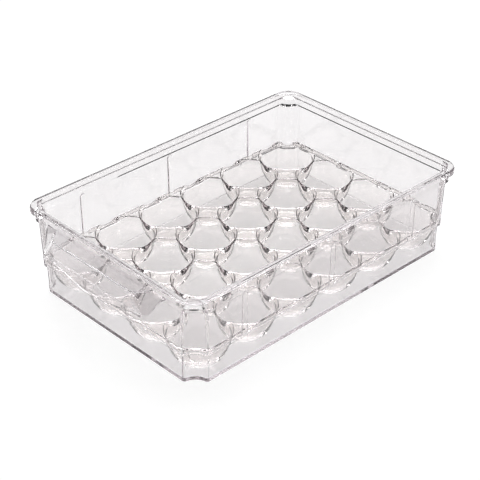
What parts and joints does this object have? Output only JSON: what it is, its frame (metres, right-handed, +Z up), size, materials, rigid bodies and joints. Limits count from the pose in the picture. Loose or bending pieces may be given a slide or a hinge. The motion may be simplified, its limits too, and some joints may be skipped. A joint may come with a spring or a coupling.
{
  "type": "egg storage box",
  "caption": "Clear open-topped fridge box with a stepped rim, notched corners and a moulded pull handle, holding a lift-out tray of round egg cups.",
  "frame": {"origin": "on the surface that the box stands on, under the middle of the whole object's length and width", "axes": "+X across the box, +Y along it away from the pull handle, +Z up"},
  "size_m": [0.2044, 0.3186, 0.079],
  "materials": {
    "box_plastic": "clear, glass-smooth moulded plastic with bright polished edges",
    "tray_plastic": "clear, glass-smooth moulded plastic, a little thinner than the box"
  },
  "bodies": {
    "box": {"box_body": "box_plastic"},
    "tray": {"egg_tray": "tray_plastic"}
  },
  "joints": [
    {"name": "tray_lift", "type": "slide", "parent": "box", "child": "tray", "axis": [0, 0, 1], "range_m": [0, 0.12]}
  ]
}
